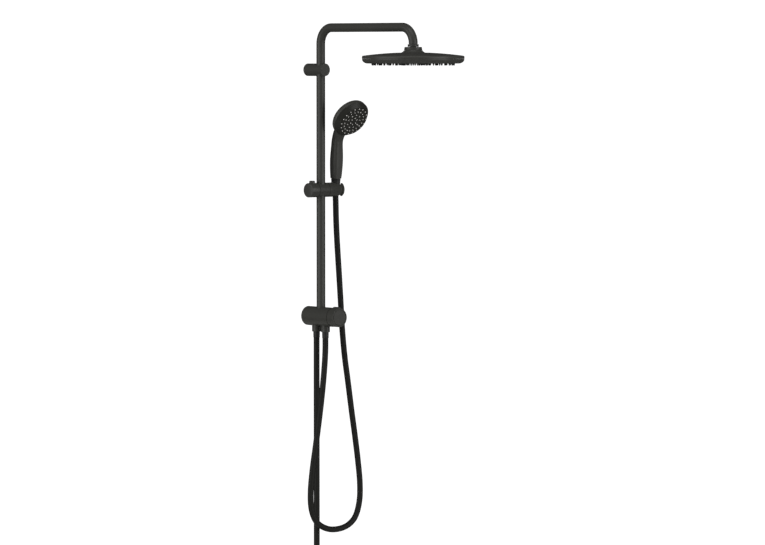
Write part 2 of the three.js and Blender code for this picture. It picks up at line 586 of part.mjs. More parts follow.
function hoses(group) {
  piece(group, "hand_hose", hoseTube(HAND_ROUTE, 52), FINISH.hose);
  union(group, "outlet", (geometry) => geometry.translate(0, -OUTLET_OUT, 0));
  union(group, "inlet", (geometry) => geometry.translate(0, -INLET_OUT, 0));
  unionWasher(group, "outlet_washer", OUTLET_OUT);
  unionWasher(group, "inlet_washer", INLET_OUT);
  const top = HOSE_END - TAIL - GAP;
  const foot = HOSE_END - SUPPLY_LENGTH + TAIL + GAP;
  piece(group, "supply_hose", hoseTube([[0, -INLET_OUT, top], [0, -INLET_OUT, (top + foot) / 2],
    [0, -INLET_OUT, foot]], 6), FINISH.hose);
  const turnOver = 2 * HOSE_END - SUPPLY_LENGTH;
  union(group, "supply_end", (geometry) => geometry.rotateX(Math.PI).translate(0, -INLET_OUT, turnOver));
}

// ---------------------------------------------------------------- assembly

function at(parent, x, y, z, tiltDegrees = 0) {
  const group = new THREE.Group();
  group.position.set(x, y, z);
  group.rotation.x = THREE.MathUtils.degToRad(tiltDegrees);
  parent.add(group);
  return group;
}

const column = new THREE.Group();
column.name = "rain_shower_column";

wallPlates(column);
diverterBody(column);
diverterCartridge(column);
diverterKnob(column);
riser(at(column, 0, -COLUMN_OUT, 0));
bracket(at(column, 0, 0, BRACKET.height));
armPipe(column);

const rose = at(column, 0, -COLUMN_OUT - ARM.reach, ROSE.ballHeight);
ballJoint(rose);
roseShells(rose);

const carriage = at(column, 0, -COLUMN_OUT, SLIDER.height);
slider(carriage);
lockButton(carriage);
const tilted = at(carriage, 0, 0, 0, HANDSET.tiltDegrees);
holder(tilted);
const handset = at(tilted, HANDSET.across, 0, 0);
handsetShell(handset);
handsetFace(handset);
coneNut(handset);

hoses(column);

export default column;
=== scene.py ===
"""A wall-held rain shower column, laid out as an add-on with one operator for each group of pieces.

Outlines are in millimetres as (radius, height) pairs, and everything placed is in metres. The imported
model gives each piece its place and its joints, and this file gives it its finished surface.
"""

import json
import math

import bmesh
import bpy
from bpy.props import FloatProperty, StringProperty
from mathutils import Matrix, Vector
from mathutils.geometry import interpolate_bezier

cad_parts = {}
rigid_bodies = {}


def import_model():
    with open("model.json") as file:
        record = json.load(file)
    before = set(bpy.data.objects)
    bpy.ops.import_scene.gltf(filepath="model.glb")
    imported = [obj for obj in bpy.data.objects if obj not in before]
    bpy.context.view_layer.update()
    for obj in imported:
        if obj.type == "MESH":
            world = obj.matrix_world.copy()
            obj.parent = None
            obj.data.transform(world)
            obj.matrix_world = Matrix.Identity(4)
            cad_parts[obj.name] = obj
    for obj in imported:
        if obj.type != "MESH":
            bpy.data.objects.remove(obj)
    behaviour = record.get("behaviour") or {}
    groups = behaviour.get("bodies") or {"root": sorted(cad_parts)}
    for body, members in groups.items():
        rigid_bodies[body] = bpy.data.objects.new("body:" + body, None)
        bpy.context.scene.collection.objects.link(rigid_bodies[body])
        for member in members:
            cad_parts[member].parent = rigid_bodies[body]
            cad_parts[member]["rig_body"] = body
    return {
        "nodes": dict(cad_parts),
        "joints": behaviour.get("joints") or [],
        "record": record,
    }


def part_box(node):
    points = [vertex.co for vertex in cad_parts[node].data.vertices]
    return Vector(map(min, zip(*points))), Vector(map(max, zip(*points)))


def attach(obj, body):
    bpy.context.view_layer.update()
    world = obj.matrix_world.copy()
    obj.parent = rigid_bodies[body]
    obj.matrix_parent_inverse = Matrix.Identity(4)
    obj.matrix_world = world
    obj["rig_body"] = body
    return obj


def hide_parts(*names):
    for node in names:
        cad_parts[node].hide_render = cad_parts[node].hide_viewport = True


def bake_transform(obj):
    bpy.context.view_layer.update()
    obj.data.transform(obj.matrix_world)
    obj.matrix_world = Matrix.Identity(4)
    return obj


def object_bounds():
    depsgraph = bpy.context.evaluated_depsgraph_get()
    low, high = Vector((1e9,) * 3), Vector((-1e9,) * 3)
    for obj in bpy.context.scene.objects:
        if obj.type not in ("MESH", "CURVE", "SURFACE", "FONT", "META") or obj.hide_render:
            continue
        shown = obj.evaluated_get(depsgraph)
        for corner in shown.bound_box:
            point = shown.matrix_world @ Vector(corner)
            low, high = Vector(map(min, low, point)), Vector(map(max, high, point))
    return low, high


bl_info = {
    "name": "Rain shower column",
    "version": (1, 0, 0),
    "blender": (4, 5, 0),
    "location": "View3D > Sidebar > Shower",
    "description": "Builds a rain shower column with its hand shower, holder, diverter and hoses",
    "category": "Object",
}

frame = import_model()
CAD_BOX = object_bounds()
JOINTS = {joint["name"]: joint for joint in frame["joints"]}
SLOT_OF_NODE = {part["node"]: part["material_slot"] for part in frame["record"]["subparts"]}

MM = 0.001
ROD_STEPS = 48           # facets round a rod
BORE_STEPS = 64          # facets round a bore, a boss or the button
TURN_STEPS = 96          # facets round a turned piece
WIDE_STEPS = 128         # facets round the diverter and the hand shower's head
FINE_STEPS = 160         # facets round the overhead rose and the hand shower's bevel
MERGE_WITHIN = 1e-7      # points closer than this are one point
SMOOTH_BELOW = math.radians(32)
ROUND_ABOVE = math.radians(38)           # sharper edges than this are rounded
TUBE_SMOOTH_BELOW = math.radians(50)


# ---------------------------------------------------------------- sizes and colours a user can change


def length(label, description, default):
    return FloatProperty(name=label, description=description, default=default, min=0, precision=4,
                         unit="LENGTH", subtype="DISTANCE")


def hex_colour(label, description, default):
    return StringProperty(name=label, description=description, default=default, maxlen=7)


class ShowerSizes(bpy.types.PropertyGroup):
    tube_radius: length("Tube radius", "Outside radius of the riser and the arm", 0.011)
    tube_wall: length("Tube wall", "Wall thickness of the riser and the arm", 0.0012)
    arm_bend: length("Arm bend", "Radius of the arm's bends at the tube's middle", 0.040)
    hose_radius: length("Hose radius", "Outside radius of both hoses", 0.0075)
    rose_radius: length("Rose radius", "Outside radius of the overhead rose", 0.125)
    hand_rose_radius: length("Hand shower radius", "Outside radius of the hand shower's face", 0.050)


class ShowerColours(bpy.types.PropertyGroup):
    coat: hex_colour("Coat", "Powder coat on the metal parts", "#3f3f3c")
    moulding: hex_colour("Moulding", "Matte moulded plastic", "#41413e")
    gloss: hex_colour("Gloss", "Gloss moulded plastic round the hand shower's face", "#2b2b28")
    nozzle: hex_colour("Nozzles", "Hand shower's silicone nozzles", "#f2f0ec")
    spray: hex_colour("Rose nozzles", "Overhead rose's silicone spray face", "#20201f")
    hose: hex_colour("Hose", "Smooth hose skin", "#1f1f1d")
    fitting: hex_colour("Fittings", "Cone nut and crimp sleeves of the hoses", "#2c2c2b")
    seal: hex_colour("Seals", "Nitrile seals", "#1b1b1b")
    acetal: hex_colour("Acetal", "Bushes, cartridge and washers", "#dcd9d0")
    brass: hex_colour("Brass", "Turned brass inside", "#c8a25a")
    steel: hex_colour("Steel", "Stainless plates and screws", "#b4b3b0")
    floor: hex_colour("Floor", "Studio floor", "#f2f1ee")


class ShowerCamera(bpy.types.PropertyGroup):
    azimuth: FloatProperty(name="Azimuth", default=math.radians(-40.73), subtype="ANGLE",
                           description="Camera's place round the column from its front, positive to the right")
    distance: length("Distance", "From the column's axis to the camera, level", 9.917)
    height: length("Height", "Camera's height above the diverter", 0.6636)
    heading: FloatProperty(name="Heading", description="Turn of the line of sight from the wall's normal",
                           default=math.radians(-41.622), subtype="ANGLE")
    pitch: FloatProperty(name="Pitch", description="Line of sight below the level", default=math.radians(3.194),
                         subtype="ANGLE")
    lens: FloatProperty(name="Lens", description="Focal length", default=186.34, unit="CAMERA")


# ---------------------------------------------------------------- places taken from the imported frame


def middle(node):
    low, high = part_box(node)
    return (low + high) / 2


COLUMN = Vector((middle("riser_tube").x, middle("riser_tube").y, 0))
INLET = Vector((middle("inlet_nipple").x, middle("inlet_nipple").y, 0))
OUTLET = Vector((middle("outlet_nipple").x, middle("outlet_nipple").y, 0))
BALL = Vector(JOINTS["rose_front_tilt"]["pos_m"])
PIVOT = Vector(JOINTS["holder_tilt"]["pos_m"])
SEAT = Vector(JOINTS["handset_turn"]["pos_m"])
LEAN = math.atan2(-JOINTS["handset_turn"]["axis"][1], JOINTS["handset_turn"]["axis"][2])
BRACKET_AXIS = Vector((0, 0, middle("upper_wall_plate").z))
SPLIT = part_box("arm_pipe")[0].z

UPRIGHT = Matrix.Identity(4)
OUTWARD = Matrix.Rotation(math.radians(90), 4, "X")     # heights run out from the wall
ACROSS = Matrix.Rotation(math.radians(90), 4, "Y")      # heights run along +X
LEANING = Matrix.Rotation(LEAN, 4, "X")


def at(place, *turns):
    matrix = Matrix.Translation(place)
    for turn in turns:
        matrix = matrix @ turn
    return matrix


# ---------------------------------------------------------------- mesh tools


def arc(centre, radius, start, end, steps):
    """Outline points along an arc, with angles in degrees from the +radius direction."""
    angles = (math.radians(start + (end - start) * i / steps) for i in range(steps + 1))
    return [(centre[0] + radius * math.cos(a), centre[1] + radius * math.sin(a)) for a in angles]


def turned(points, steps=TURN_STEPS):
    """A closed body turned about Z from an outline in millimetres."""
    mesh = bmesh.new()
    corners = [mesh.verts.new((radius * MM, 0, height * MM)) for radius, height in points]
    edges = [mesh.edges.new(pair) for pair in zip(corners, corners[1:])]
    if points[0][0] > 0 or points[-1][0] > 0:
        edges.append(mesh.edges.new((corners[-1], corners[0])))
    bmesh.ops.spin(mesh, geom=corners + edges, cent=(0, 0, 0), axis=(0, 0, 1), dvec=(0, 0, 0),
                   angle=math.tau, steps=steps, use_merge=True)
    bmesh.ops.remove_doubles(mesh, verts=mesh.verts, dist=MERGE_WITHIN)
    bmesh.ops.recalc_face_normals(mesh, faces=mesh.faces)
    return mesh


def ring(inner, outer, low, high):
    return [(inner, low), (outer, low), (outer, high), (inner, high)]


def rod(radius, low, high, steps=ROD_STEPS):
    return turned(ring(0, radius, low, high), steps)


def moved(mesh, matrix):
    bmesh.ops.transform(mesh, matrix=matrix, verts=mesh.verts)
    return mesh


def block(low, high):
    """A box between two corners in millimetres."""
    mesh = bmesh.new()
    size = Vector(high) - Vector(low)
    bmesh.ops.create_cube(mesh, size=1)
    return moved(mesh, Matrix.Translation((Vector(high) + Vector(low)) / 2 * MM)
                 @ Matrix.Diagonal((*(size * MM), 1)))


def to_object(mesh, name):
    data = bpy.data.meshes.new(name)
    mesh.to_mesh(data)
    mesh.free()
    piece = bpy.data.objects.new(name, data)
    bpy.context.scene.collection.objects.link(piece)
    return piece


def baked(piece):
    """The mesh of an object with its modifiers applied, as a bmesh; the object is used up."""
    bpy.context.view_layer.update()
    result = bpy.data.meshes.new_from_object(piece.evaluated_get(bpy.context.evaluated_depsgraph_get()))
    bpy.data.objects.remove(piece)
    mesh = bmesh.new()
    mesh.from_mesh(result)
    bpy.data.meshes.remove(result)
    return mesh


def combined(mesh, operation, *others):
    """Cuts other bodies out of a body, or joins them to it; the others are used up."""
    piece = to_object(mesh, "workpiece")
    tools = [to_object(other, "tool") for other in others]
    for tool in tools:
        step = piece.modifiers.new(operation, "BOOLEAN")
        step.operation = operation
        step.solver = "EXACT"
        step.object = tool
    result = baked(piece)
    for tool in tools:
        bpy.data.objects.remove(tool)
    return result


def finish_piece(node, mesh, place, edge_mm=0):
    """Puts a finished piece where its CAD node is, on the same body, with its material."""
    bmesh.ops.remove_doubles(mesh, verts=mesh.verts, dist=MERGE_WITHIN)
    piece = to_object(moved(mesh, place), f"{node}_fine")
    piece.data.shade_smooth()
    piece.data.set_sharp_from_angle(angle=SMOOTH_BELOW)
    if edge_mm:
        rounding = piece.modifiers.new("edge", "BEVEL")
        rounding.width = edge_mm * MM
        rounding.segments = 2
        rounding.limit_method = "ANGLE"
        rounding.angle_limit = ROUND_ABOVE
        rounding.harden_normals = True
    slot = SLOT_OF_NODE[node]
    piece.data.materials.append(MATERIALS[slot])
    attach(piece, frame["nodes"][node]["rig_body"])
    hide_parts(node)
    return piece


# ---------------------------------------------------------------- materials

MATERIALS = {}
NOISE_LOW, NOISE_HIGH = 0.3, 0.7         # a noise's values lie mostly between these
LINE_SPREAD = 0.08                       # how far brushed lines move the roughness either way


def linear(text):
    """An sRGB hex colour as linear red, green, blue and alpha."""
    values = [int(text[i:i + 2], 16) / 255 for i in (1, 3, 5)]
    return (*(v / 12.92 if v <= 0.04045 else ((v + 0.055) / 1.055) ** 2.4 for v in values), 1)


def add(tree, kind, inputs=None, **settings):
    """Adds a node with its settings, and links or sets its inputs."""
    node = tree.nodes.new(kind)
    for name, value in settings.items():
        setattr(node, name, value)
    for name, value in (inputs or {}).items():
        if isinstance(value, bpy.types.NodeSocket):
            tree.links.new(value, node.inputs[name])
        else:
            node.inputs[name].default_value = value
    return node


def surface(name, colour, *, darker, roughness, grain_mm, bump_mm, patch_mm=60, spread=0.06, **shader):
    """A solid finish: colour drifts in soft patches, and a fine grain roughens and lifts the surface.

    darker is how much darker the drift goes, and patch_mm is the size of its patches. grain_mm and bump_mm
    are the grain's size and height, and spread is how far the grain moves the roughness either way.
    """
    material = bpy.data.materials.new(name)
    material.use_nodes = True
    tree = material.node_tree
    tree.nodes.clear()
    place = add(tree, "ShaderNodeTexCoord").outputs["Object"]
    patches = add(tree, "ShaderNodeTexNoise", {"Vector": place, "Scale": 1 / (patch_mm * MM), "Detail": 3.0})
    grain = add(tree, "ShaderNodeTexNoise", {"Vector": place, "Scale": 1 / (grain_mm * MM), "Detail": 2.0})
    light = linear(colour)
    dark = (*(channel * (1 - darker) for channel in light[:3]), 1)
    tint = add(tree, "ShaderNodeMixRGB", {"Fac": patches.outputs["Fac"], "Color1": dark, "Color2": light})
    rough = add(tree, "ShaderNodeMapRange", {
        "Value": grain.outputs["Fac"], "From Min": NOISE_LOW, "From Max": NOISE_HIGH,
        "To Min": roughness - spread, "To Max": roughness + spread})
    lift = add(tree, "ShaderNodeBump", {
        "Height": grain.outputs["Fac"], "Strength": 0.35, "Distance": bump_mm * MM})
    shine = add(tree, "ShaderNodeBsdfPrincipled", {
        "Base Color": tint.outputs["Color"], "Roughness": rough.outputs["Result"],
        "Normal": lift.outputs["Normal"], "Metallic": 0.0, **shader})
    add(tree, "ShaderNodeOutputMaterial", {"Surface": shine.outputs["BSDF"]})
    return material


def brushed(name, colour, roughness, line_mm):
    """A turned or brushed metal: fine lines round the piece, drawn by a noise stretched along X."""
    material = bpy.data.materials.new(name)
    material.use_nodes = True
    tree = material.node_tree
    tree.nodes.clear()
    place = add(tree, "ShaderNodeTexCoord").outputs["Object"]
    stretched = add(tree, "ShaderNodeMapping", {"Vector": place, "Scale": (0.03, 0.03, 1.0)})
    lines = add(tree, "ShaderNodeTexNoise", {
        "Vector": stretched.outputs["Vector"], "Scale": 1 / (line_mm * MM), "Detail": 2.0})
    rough = add(tree, "ShaderNodeMapRange", {
        "Value": lines.outputs["Fac"], "From Min": NOISE_LOW, "From Max": NOISE_HIGH,
        "To Min": roughness - LINE_SPREAD, "To Max": roughness + LINE_SPREAD})
    lift = add(tree, "ShaderNodeBump", {
        "Height": lines.outputs["Fac"], "Strength": 0.3, "Distance": 0.02 * MM})
    shine = add(tree, "ShaderNodeBsdfPrincipled", {
        "Base Color": linear(colour), "Metallic": 1.0, "Roughness": rough.outputs["Result"],
        "Normal": lift.outputs["Normal"]})
    add(tree, "ShaderNodeOutputMaterial", {"Surface": shine.outputs["BSDF"]})
    return material


def make_materials():
    colours = bpy.context.scene.shower_colours
    satin = {"IOR": 1.5, "Specular IOR Level": 0.15}
    dull = {"IOR": 1.5, "Specular IOR Level": 0.12}
    # Polyester powder coat over brass: satin, not metallic, with a fine orange peel.
    MATERIALS["black_coated_metal"] = surface(
        "powder_coated_brass", colours.coat, darker=0.08, roughness=0.31, grain_mm=0.9, bump_mm=0.02, **satin)
    # ABS from a spark-eroded mould: a little flatter than the coat, with an even fine grain.
    MATERIALS["black_moulded_plastic"] = surface(
        "grained_abs", colours.moulding, darker=0.08, roughness=0.35, grain_mm=0.7, bump_mm=0.02, **satin)
    # ABS nut and crimp sleeves: darker than the coated pieces, with a satin skin.
    MATERIALS["dark_hose_fitting"] = surface(
        "satin_abs", colours.fitting, darker=0.08, roughness=0.42, grain_mm=0.8, bump_mm=0.02, **satin)
    # Liquid silicone: dull and slightly dusty.
    MATERIALS["rose_spray_rubber"] = surface(
        "black_silicone", colours.spray, darker=0.15, roughness=0.6, grain_mm=1.2, bump_mm=0.03, **dull)
    # ABS from a polished mould: sharp soft-box reflections.
    MATERIALS["gloss_black_plastic"] = surface(
        "polished_abs", colours.gloss, darker=0.06, roughness=0.34, grain_mm=2.0, bump_mm=0.004, spread=0.03,
        **satin)
    # Pale liquid silicone: dull, and a little uneven in tone from stud to stud.
    MATERIALS["grey_nozzle_silicone"] = surface(
        "grey_silicone", colours.nozzle, darker=0.10, roughness=0.55, grain_mm=0.8, bump_mm=0.02, patch_mm=8,
        IOR=1.41)
    # Extruded PVC skin: satin, with faint waves along it.
    MATERIALS["smooth_hose_pvc"] = surface(
        "extruded_pvc", colours.hose, darker=0.12, roughness=0.55, grain_mm=3.0, bump_mm=0.05, patch_mm=25,
        **dull)
    # Moulded nitrile rings: matte and black.
    MATERIALS["seal_rubber"] = surface(
        "nitrile_rubber", colours.seal, darker=0.2, roughness=0.7, grain_mm=0.5, bump_mm=0.02, IOR=1.52)
    # Moulded acetal: milky and slightly waxy.
    MATERIALS["pale_acetal"] = surface(
        "acetal", colours.acetal, darker=0.05, roughness=0.4, grain_mm=0.6, bump_mm=0.01, IOR=1.48)
    # Brass and stainless steel with the tool's or the brush's lines left in them.
    MATERIALS["brass"] = brushed("turned_brass", colours.brass, 0.3, 0.25)
    MATERIALS["stainless_steel"] = brushed("brushed_stainless", colours.steel, 0.34, 0.3)


# ---------------------------------------------------------------- hoses

# The hand hose from the cone nut down its loop to the diverter's outlet, in metres.
HAND_ROUTE = [
    (0.0485, -0.0506, 0.3291), (0.0487, -0.0498, 0.3105), (0.0495, -0.0496, 0.286), (0.0502, -0.0503, 0.240),
    (0.0522, -0.0515, 0.189), (0.0552, -0.0525, 0.139), (0.0586, -0.0533, 0.088), (0.0622, -0.0542, 0.030),
    (0.066, -0.0553, -0.035), (0.0735, -0.0562, -0.105), (0.083, -0.057, -0.165), (0.0945, -0.0579, -0.240),
    (0.106, -0.0587, -0.310), (0.1155, -0.0594, -0.375), (0.121, -0.060, -0.430), (0.1185, -0.0605, -0.475),
    (0.104, -0.061, -0.5125), (0.078, -0.0614, -0.532), (0.040, -0.0619, -0.539), (0.004, -0.0624, -0.5335),
    (-0.027, -0.0628, -0.5145), (-0.043, -0.0632, -0.483), (-0.0465, -0.0637, -0.440), (-0.041, -0.0642, -0.385),
    (-0.031, -0.065, -0.325), (-0.0195, -0.0657, -0.255), (-0.0095, -0.0663, -0.185), (-0.003, -0.0668, -0.125),
    (-0.0003, -0.067, -0.085), (0.0, -0.067, -0.0538),
]
UPPER_POINTS = 6         # the first points of the route, laid as a length of hose of their own
SPAN_STEPS = 8           # points from one point of a route to the next
SUPPLY_STEPS = 40        # points down the supply hose


def smooth_path(route):
    """Points close together along one smooth curve through the route."""
    points = [Vector(point) for point in route]
    count = len(points)
    headings = [(points[min(i + 1, count - 1)] - points[max(i - 1, 0)]).normalized() for i in range(count)]
    path = []
    for i in range(count - 1):
        reach = (points[i + 1] - points[i]).length / 3
        path += interpolate_bezier(points[i], points[i] + headings[i] * reach,
                                   points[i + 1] - headings[i + 1] * reach, points[i + 1], SPAN_STEPS + 1)[:-1]
    return path + [points[-1]]


def tube_along(path, radius, name, slot="smooth_hose_pvc"):
    """A closed round tube along a path, as a mesh object with its slot's material."""
    curve = bpy.data.curves.new(name, "CURVE")
    curve.dimensions = "3D"
    spline = curve.splines.new("POLY")
    spline.points.add(len(path) - 1)
    for knot, point in zip(spline.points, path):
        knot.co = (*point, 1)
    curve.bevel_depth = radius
    curve.bevel_resolution = 7 if radius > 2 * MM else 3
    curve.use_fill_caps = True
    holder = bpy.data.objects.new(name, curve)
    bpy.context.scene.collection.objects.link(holder)
    mesh = baked(holder)
    bmesh.ops.remove_doubles(mesh, verts=mesh.verts, dist=MERGE_WITHIN)
    bmesh.ops.recalc_face_normals(mesh, faces=mesh.faces)
    piece = to_object(mesh, name)
    piece.data.shade_smooth()
    piece.data.set_sharp_from_angle(angle=TUBE_SMOOTH_BELOW)
    piece.data.materials.clear()
    piece.data.materials.append(MATERIALS[slot])
    return piece


class SHOWER_OT_hoses(bpy.types.Operator):
    """Lays the hand hose in its loop and hangs the supply hose"""
    bl_idname = "shower.hoses"
    bl_label = "Hoses"

    def execute(self, context):
        radius = context.scene.shower_sizes.hose_radius
        path = smooth_path(HAND_ROUTE)
        parting = UPPER_POINTS * SPAN_STEPS
        upper, lower = path[:parting + 1], path[parting:][::-1]
        loop = tube_along(lower, radius, "hand_hose_loop")
        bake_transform(loop)
        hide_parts("hand_hose")
        top = tube_along(upper, radius, "hand_hose_top")
        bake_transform(top)
        low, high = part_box("supply_hose")
        fall = low.z - high.z
        supply = [Vector((INLET.x, INLET.y, high.z + fall * i / SUPPLY_STEPS)) for i in range(SUPPLY_STEPS + 1)]
        drop = tube_along(supply, radius, "supply_hose_fine")
        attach(drop, "column")
        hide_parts("supply_hose")
        return {"FINISHED"}


# Heights in millimetres, from the diverter's axis or, for the cone nut, up the hand shower from its seat.
NUT_FACE = -38.5                         # the union nuts' lower faces
NUT_FLOOR = NUT_FACE + 4                 # where the tail's flange rests inside the nut
TAIL_LENGTH = 15.0
CONE_TOP = 27.5


class SHOWER_OT_unions(bpy.types.Operator):
    """Makes the union nuts and crimped tails at the hoses' ends, and the hand shower's cone nut"""
    bl_idname = "shower.unions"
    bl_label = "Hose unions"

    def execute(self, context):
        flip = middle("supply_end_nut").z + middle("inlet_nut").z
        places = {"outlet": at(OUTLET), "inlet": at(INLET),
                  "supply_end": at(INLET + Vector((0, 0, flip)), Matrix.Rotation(math.pi, 4, "X"))}
        for name, place in places.items():
            nut = turned([(6, NUT_FACE), (11.4, NUT_FACE), (11.4, -24.8), (10.45, -24.8), (10.45, NUT_FLOOR),
                          (6, NUT_FLOOR)])
            finish_piece(f"{name}_nut", nut, place, edge_mm=0.6)
            low = NUT_FACE - TAIL_LENGTH
            tail = turned([(4, NUT_FLOOR + 0.3), (4, low), (7.6, low), (8.35, low + 0.7), (8.35, low + 3.2),
                           (8.05, low + 3.6), (8.05, low + 5.0), (8.35, low + 5.4), (8.35, NUT_FACE - 0.3),
                           (5.7, NUT_FACE - 0.3), (5.7, NUT_FLOOR + 0.3)])
            finish_piece(f"{name}_tail", tail, place, edge_mm=0.25)
        cone = turned([(8, 3.3), (9.6, 3.3), (10.35, 4.2), (11.4, 18), (11.5, 23.2), (12.2, 23.8),
                       (12.2, 25.6), (11.1, 26.2), (11.1, CONE_TOP), (10.45, CONE_TOP), (10.45, 11.6), (8, 11.6)])
        finish_piece("cone_nut", cone, at(SEAT, LEANING), edge_mm=0.4)
        return {"FINISHED"}


# ---------------------------------------------------------------- diverter


class SHOWER_OT_diverter(bpy.types.Operator):
    """Makes the diverter's body, knob and cap"""
    bl_idname = "shower.diverter"
    bl_label = "Diverter"

    def execute(self, context):
        body_out, knob_out, radius, knob_radius = 97.6, 122.0, 24.0, 23.6
        back = body_out + 0.7
        body = turned([(0, 11.5), (20.4, 11.5), (20.4, 0.6), (radius - 0.8, 0.6), (radius, 1.4),
                       (radius, body_out), (18, body_out), (18, 91), (15, 91), (15, 26), (0, 26)], WIDE_STEPS)
        body = moved(body, OUTWARD)
        bosses = [moved(rod(11.3, -24.5, -16, BORE_STEPS), at(place)) for place in (INLET, OUTLET)]
        body = combined(body, "UNION", *bosses)
        socket = moved(rod(11.35, 10, 30), at(COLUMN))
        ports = [moved(rod(10.4, -30, -19), at(place)) for place in (INLET, OUTLET)]
        grub = moved(rod(2.3, -26, -19.5), at(Vector((0, middle("lower_grub_screw").y, 0))))
        body = combined(body, "DIFFERENCE", socket, *ports, grub)
        finish_piece("diverter_body", body, UPRIGHT, edge_mm=0.6)

        rim = [(4.3, back + 6), (19, back + 6), (19, back), (knob_radius, back), (knob_radius, knob_out - 0.2),
               (20.4, knob_out - 0.2), (20.4, knob_out - 4.6), (5.2, knob_out - 4.6), (5.2, 114.6), (2.4, 114.6),
               (2.4, 112.4), (4.3, 112.4)]
        knob = moved(turned(rim, WIDE_STEPS), OUTWARD)
        tab = block((-3, 1 - knob_out, knob_radius - 2), (3, -back - 1.5, knob_radius + 3))
        corners = [edge for edge in tab.edges if all(vert.co.z > knob_radius * MM for vert in edge.verts)]
        bmesh.ops.bevel(tab, geom=corners, offset=0.9 * MM, affect="EDGES", segments=3, profile=0.5,
                        material=-1)
        finish_piece("diverter_knob", combined(knob, "UNION", tab), UPRIGHT, edge_mm=0.7)
        cap = turned([(0, knob_out - 4.2), (20, knob_out - 4.2), (20, knob_out - 0.5), (19.5, knob_out),
                      (19, knob_out), (0, knob_out)], WIDE_STEPS)
        finish_piece("knob_cap", cap, OUTWARD, edge_mm=0.3)
        return {"FINISHED"}


# ---------------------------------------------------------------- riser, bracket and arm


class SHOWER_OT_riser(bpy.types.Operator):
    """Makes the riser tube and the bracket that holds its top to the wall"""
    bl_idname = "shower.riser"
    bl_label = "Riser and bracket"

    def execute(self, context):
        sizes = context.scene.shower_sizes
        outer, inner = sizes.tube_radius / MM, (sizes.tube_radius - sizes.tube_wall) / MM
        low, high = (corner.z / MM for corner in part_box("riser_tube"))
        finish_piece("riser_tube", turned(ring(inner, outer, low, high)), at(COLUMN), edge_mm=0.2)

        radius, reach = 15.75, 67.0
        body = turned([(0, 9), (13, 9), (13, 0.6), (radius - 0.6, 0.6), (radius, 1.2), (radius, reach),
                       (0, reach)])
        body = moved(body, OUTWARD)
        hole = moved(rod(13.1, -20, 20, BORE_STEPS), at(COLUMN))
        grub = moved(rod(2, -17, -12), at(Vector((0, middle("bracket_grub_screw").y, 0))))
        finish_piece("bracket_body", combined(body, "DIFFERENCE", hole, grub), at(BRACKET_AXIS), edge_mm=0.6)
        bush = turned(ring(outer + 0.25, 12.8, -15, 15))
        half = 14
        shape = moved(turned([(0, -half), (radius - 0.4, -half), (radius - 0.4, half), (0, half)]), OUTWARD)
        finish_piece("swivel_bush", combined(bush, "INTERSECT", shape), at(COLUMN + BRACKET_AXIS), edge_mm=0.2)
        return {"FINISHED"}


BALL_RADIUS, BALL_COLLAR = 12.0, 17.5    # the ball, and its collar's top above the ball's centre


class SHOWER_OT_arm(bpy.types.Operator):
    """Bends the arm's tube and makes the ball fitting at its end"""
    bl_idname = "shower.arm"
    bl_label = "Arm"

    def execute(self, context):
        sizes = context.scene.shower_sizes
        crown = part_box("arm_pipe")[1].z - sizes.tube_radius
        turn = crown - sizes.arm_bend
        run = COLUMN.y - BALL.y - 2 * sizes.arm_bend
        end = BALL.z + (BALL_COLLAR + 0.3) * MM
        mesh = bmesh.new()
        section = bmesh.ops.create_circle(mesh, cap_ends=False, segments=BORE_STEPS,
                                          radius=sizes.tube_radius)["verts"]
        bmesh.ops.translate(mesh, verts=section, vec=(COLUMN.x, COLUMN.y, SPLIT))
        geometry = list({edge for vert in section for edge in vert.link_edges})
        geometry = self.straight(mesh, geometry, (0, 0, turn - SPLIT))
        geometry = self.quarter(mesh, geometry, (0, COLUMN.y - sizes.arm_bend, turn))
        geometry = self.straight(mesh, geometry, (0, -run, 0))
        geometry = self.quarter(mesh, geometry, (0, COLUMN.y - sizes.arm_bend - run, turn))
        self.straight(mesh, geometry, (0, 0, end - turn))
        bmesh.ops.remove_doubles(mesh, verts=mesh.verts, dist=10 * MERGE_WITHIN)
        bmesh.ops.recalc_face_normals(mesh, faces=mesh.faces)
        bmesh.ops.solidify(mesh, geom=mesh.faces[:], thickness=sizes.tube_wall)
        finish_piece("arm_pipe", mesh, UPRIGHT)

        fitting = turned([*arc((0, 0), BALL_RADIUS, -65.4, 54.3, 24), (7, 11.2), (12.9, 11.2), (13.5, 11.8),
                          (13.5, BALL_COLLAR - 0.6), (12.9, BALL_COLLAR), (9.1, BALL_COLLAR),
                          (9.1, BALL_COLLAR + 4), (5, BALL_COLLAR + 4)])
        finish_piece("ball_fitting", fitting, at(BALL), edge_mm=0.3)
        return {"FINISHED"}

    @staticmethod
    def straight(mesh, edges, offset):
        made = bmesh.ops.extrude_edge_only(mesh, edges=edges)["geom"]
        bmesh.ops.translate(mesh, verts=[g for g in made if isinstance(g, bmesh.types.BMVert)], vec=offset)
        return [g for g in made if isinstance(g, bmesh.types.BMEdge)]

    @staticmethod
    def quarter(mesh, edges, centre):
        ends = list({vert for edge in edges for vert in edge.verts})
        made = bmesh.ops.spin(mesh, geom=ends + edges, cent=centre, axis=(1, 0, 0), dvec=(0, 0, 0),
                              angle=math.radians(90), steps=24, use_merge=False)["geom_last"]
        return [g for g in made if isinstance(g, bmesh.types.BMEdge)]


# ---------------------------------------------------------------- overhead rose

SEAM, FACE_LEVEL = -18.0, -29.6          # below the ball's centre
ROSE_RINGS = [(100, 34), (80, 24), (60, 18), (40, 12), (20, 6)]      # radius and count
ROSE_FIRST = 3                           # angle of each ring's first nozzle
NOZZLE_SIDES = 8


def dome(radius):
    return -2.3 - radius * radius / 1860


